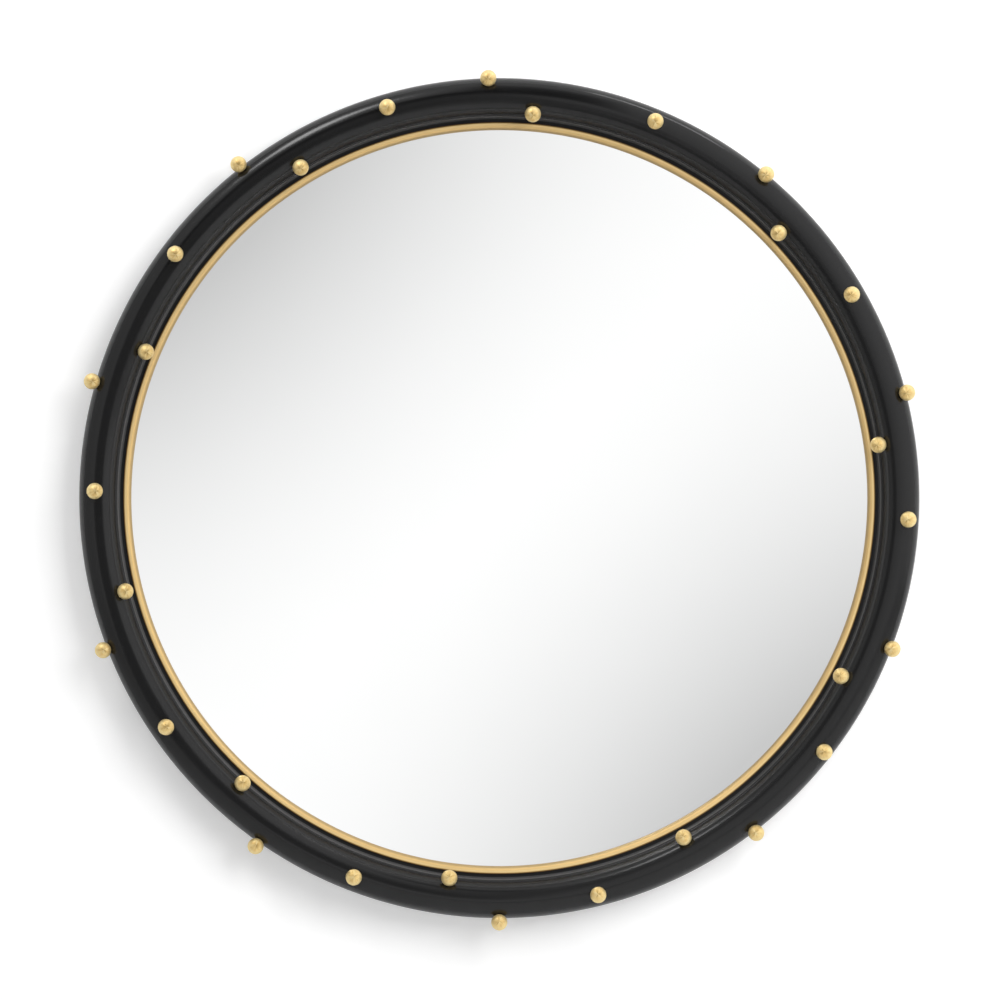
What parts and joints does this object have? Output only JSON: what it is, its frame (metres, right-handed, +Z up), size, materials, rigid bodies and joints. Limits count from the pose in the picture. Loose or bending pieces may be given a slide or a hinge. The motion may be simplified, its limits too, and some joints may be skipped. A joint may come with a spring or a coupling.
{
  "type": "round mirror",
  "caption": "Round wall mirror in a black half-round frame set all over with gold ball studs, with a gold inner bead, a backing board held by turn buttons, and D-ring hangers.",
  "frame": {"origin": "the middle of the mirror in the plane of the wall, which the four pads touch", "axes": "+Y into the wall, so the mirror faces -Y; +Z up as it hangs; +X to the right as seen from in front"},
  "size_m": [0.9899, 0.0723, 1.0096],
  "materials": {
    "black_lacquer": "satin black lacquer on turned wood",
    "gold_leaf": "gilded, satin",
    "mirror": "silvered float glass",
    "fibreboard": "plain hard fibreboard",
    "satin_brass": "brushed satin brass",
    "zinc_plate": "zinc plated",
    "rubber": "matt"
  },
  "bodies": {
    "frame": {"backing_board": "fibreboard", "frame_ring": "black_lacquer", "gold_bead_ring": "gold_leaf", "hanger_screws": "zinc_plate", "hanger_strap_left": "zinc_plate", "hanger_strap_right": "zinc_plate", "inner_ball_01": "satin_brass", "inner_ball_02": "satin_brass", "inner_ball_03": "satin_brass", "inner_ball_04": "satin_brass", "inner_ball_05": "satin_brass", "inner_ball_06": "satin_brass", "inner_ball_07": "satin_brass", "inner_ball_08": "satin_brass", "inner_ball_09": "satin_brass", "inner_ball_10": "satin_brass", "middle_ball_01": "satin_brass", "middle_ball_02": "satin_brass", "middle_ball_03": "satin_brass", "middle_ball_04": "satin_brass", "middle_ball_05": "satin_brass", "middle_ball_06": "satin_brass", "middle_ball_07": "satin_brass", "middle_ball_08": "satin_brass", "middle_ball_09": "satin_brass", "middle_ball_10": "satin_brass", "mirror_glass": "mirror", "outer_ball_01": "satin_brass", "outer_ball_02": "satin_brass", "outer_ball_03": "satin_brass", "outer_ball_04": "satin_brass", "outer_ball_05": "satin_brass", "outer_ball_06": "satin_brass", "outer_ball_07": "satin_brass", "outer_ball_08": "satin_brass", "outer_ball_09": "satin_brass", "outer_ball_10": "satin_brass", "stud_pins": "zinc_plate", "turn_button_screws": "zinc_plate", "wall_pad_1": "rubber", "wall_pad_2": "rubber", "wall_pad_3": "rubber", "wall_pad_4": "rubber"},
    "turn_button_1": {"turn_button_1": "zinc_plate"},
    "turn_button_2": {"turn_button_2": "zinc_plate"},
    "turn_button_3": {"turn_button_3": "zinc_plate"},
    "turn_button_4": {"turn_button_4": "zinc_plate"},
    "turn_button_5": {"turn_button_5": "zinc_plate"},
    "turn_button_6": {"turn_button_6": "zinc_plate"},
    "turn_button_7": {"turn_button_7": "zinc_plate"},
    "turn_button_8": {"turn_button_8": "zinc_plate"},
    "d_ring_left": {"d_ring_left": "zinc_plate"},
    "d_ring_right": {"d_ring_right": "zinc_plate"}
  },
  "joints": [
    {"name": "turn_button_1_turn", "type": "hinge", "parent": "frame", "child": "turn_button_1", "pos_m": [0.17757, -0.008, 0.42868], "axis": [0, 1, 0], "continuous": true},
    {"name": "turn_button_2_turn", "type": "hinge", "parent": "frame", "child": "turn_button_2", "pos_m": [0.42868, -0.008, 0.17757], "axis": [0, 1, 0], "continuous": true},
    {"name": "turn_button_3_turn", "type": "hinge", "parent": "frame", "child": "turn_button_3", "pos_m": [0.42868, -0.008, -0.17757], "axis": [0, 1, 0], "continuous": true},
    {"name": "turn_button_4_turn", "type": "hinge", "parent": "frame", "child": "turn_button_4", "pos_m": [0.17757, -0.008, -0.42868], "axis": [0, 1, 0], "continuous": true},
    {"name": "turn_button_5_turn", "type": "hinge", "parent": "frame", "child": "turn_button_5", "pos_m": [-0.17757, -0.008, -0.42868], "axis": [0, 1, 0], "continuous": true},
    {"name": "turn_button_6_turn", "type": "hinge", "parent": "frame", "child": "turn_button_6", "pos_m": [-0.42868, -0.008, -0.17757], "axis": [0, 1, 0], "continuous": true},
    {"name": "turn_button_7_turn", "type": "hinge", "parent": "frame", "child": "turn_button_7", "pos_m": [-0.42868, -0.008, 0.17757], "axis": [0, 1, 0], "continuous": true},
    {"name": "turn_button_8_turn", "type": "hinge", "parent": "frame", "child": "turn_button_8", "pos_m": [-0.17757, -0.008, 0.42868], "axis": [0, 1, 0], "continuous": true},
    {"name": "d_ring_left_swing", "type": "hinge", "parent": "frame", "child": "d_ring_left", "pos_m": [-0.41006, -0.00472, 0.24475], "axis": [-1, 0, 0], "range_deg": [-4, 175]},
    {"name": "d_ring_right_swing", "type": "hinge", "parent": "frame", "child": "d_ring_right", "pos_m": [0.41006, -0.00472, 0.24475], "axis": [-1, 0, 0], "range_deg": [-4, 175]}
  ]
}
